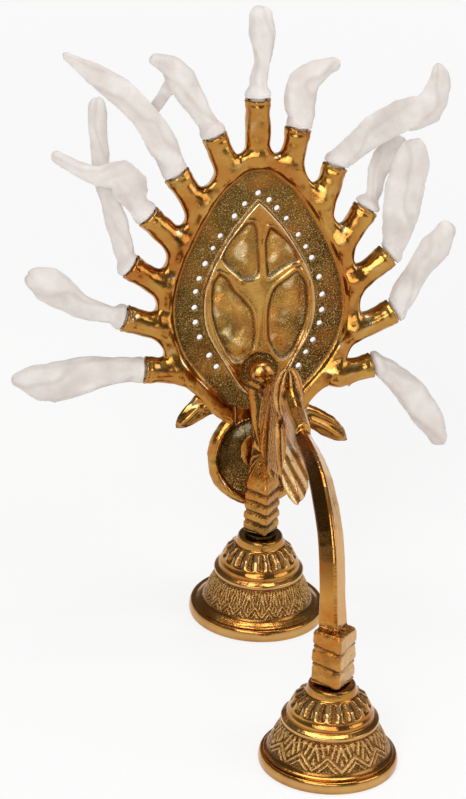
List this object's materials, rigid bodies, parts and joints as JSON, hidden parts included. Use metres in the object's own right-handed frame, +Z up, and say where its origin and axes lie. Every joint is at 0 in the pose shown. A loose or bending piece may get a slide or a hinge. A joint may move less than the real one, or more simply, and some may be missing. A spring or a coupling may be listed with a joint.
{
  "type": "aarti lamp",
  "caption": "Brass lamp with a leaning fan of wick spouts, carried by an arched square-bar handle on two bell feet, with cotton wicks.",
  "frame": {"origin": "on the ground plane, under the middle of the lamp's bounding box", "axes": "+Z up, -Y from the fan plate towards the front foot, +X to the right of someone facing the fan plate from the front foot"},
  "size_m": [0.15, 0.1648, 0.2015],
  "materials": {
    "handle": "polished antique brass",
    "fan_plate": "antique brass, polished rims over dark grainy recesses",
    "peg": "polished brass",
    "feet": "antique brass with dark chased bands and polished rings",
    "spacer": "darkened brass",
    "fasteners": "plain steel",
    "wick": "matte white cotton"
  },
  "bodies": {
    "lamp": {"dish_screw": "spacer", "dish_washer": "spacer", "fan_plate": "fan_plate", "front_foot": "feet", "front_foot_nut": "fasteners", "front_foot_stud": "fasteners", "front_foot_washer": "fasteners", "handle": "handle", "rear_foot": "feet", "rear_foot_nut": "fasteners", "rear_foot_stud": "fasteners", "rear_foot_washer": "fasteners", "rear_neck_spacer": "spacer", "upper_peg": "peg"},
    "wick_01": {"wick_01": "wick"},
    "wick_02": {"wick_02": "wick"},
    "wick_03": {"wick_03": "wick"},
    "wick_04": {"wick_04": "wick"},
    "wick_05": {"wick_05": "wick"},
    "wick_06": {"wick_06": "wick"},
    "wick_07": {"wick_07": "wick"},
    "wick_08": {"wick_08": "wick"},
    "wick_09": {"wick_09": "wick"},
    "wick_10": {"wick_10": "wick"},
    "wick_11": {"wick_11": "wick"},
    "wick_12": {"wick_12": "wick"},
    "wick_13": {"wick_13": "wick"}
  },
  "joints": [
    {"name": "wick_01_draw", "type": "slide", "parent": "lamp", "child": "wick_01", "axis": [-0.9945, 0.0222, 0.1022], "range_m": [0, 0.008]},
    {"name": "wick_02_draw", "type": "slide", "parent": "lamp", "child": "wick_02", "axis": [-0.9455, 0.0691, 0.3182], "range_m": [0, 0.008]},
    {"name": "wick_03_draw", "type": "slide", "parent": "lamp", "child": "wick_03", "axis": [-0.809, 0.1247, 0.5744], "range_m": [0, 0.008]},
    {"name": "wick_04_draw", "type": "slide", "parent": "lamp", "child": "wick_04", "axis": [-0.6947, 0.1526, 0.703], "range_m": [0, 0.008]},
    {"name": "wick_05_draw", "type": "slide", "parent": "lamp", "child": "wick_05", "axis": [-0.515, 0.1819, 0.8376], "range_m": [0, 0.008]},
    {"name": "wick_06_draw", "type": "slide", "parent": "lamp", "child": "wick_06", "axis": [-0.3584, 0.1981, 0.9123], "range_m": [0, 0.008]},
    {"name": "wick_07_draw", "type": "slide", "parent": "lamp", "child": "wick_07", "axis": [0, 0.2122, 0.9772], "range_m": [0, 0.008]},
    {"name": "wick_08_draw", "type": "slide", "parent": "lamp", "child": "wick_08", "axis": [0.1908, 0.2083, 0.9593], "range_m": [0, 0.008]},
    {"name": "wick_09_draw", "type": "slide", "parent": "lamp", "child": "wick_09", "axis": [0.342, 0.1994, 0.9183], "range_m": [0, 0.008]},
    {"name": "wick_10_draw", "type": "slide", "parent": "lamp", "child": "wick_10", "axis": [0.5299, 0.1799, 0.8287], "range_m": [0, 0.008]},
    {"name": "wick_11_draw", "type": "slide", "parent": "lamp", "child": "wick_11", "axis": [0.788, 0.1306, 0.6016], "range_m": [0, 0.008]},
    {"name": "wick_12_draw", "type": "slide", "parent": "lamp", "child": "wick_12", "axis": [0.9063, 0.0897, 0.413], "range_m": [0, 0.008]},
    {"name": "wick_13_draw", "type": "slide", "parent": "lamp", "child": "wick_13", "axis": [0.9744, 0.0477, 0.2198], "range_m": [0, 0.008]}
  ]
}
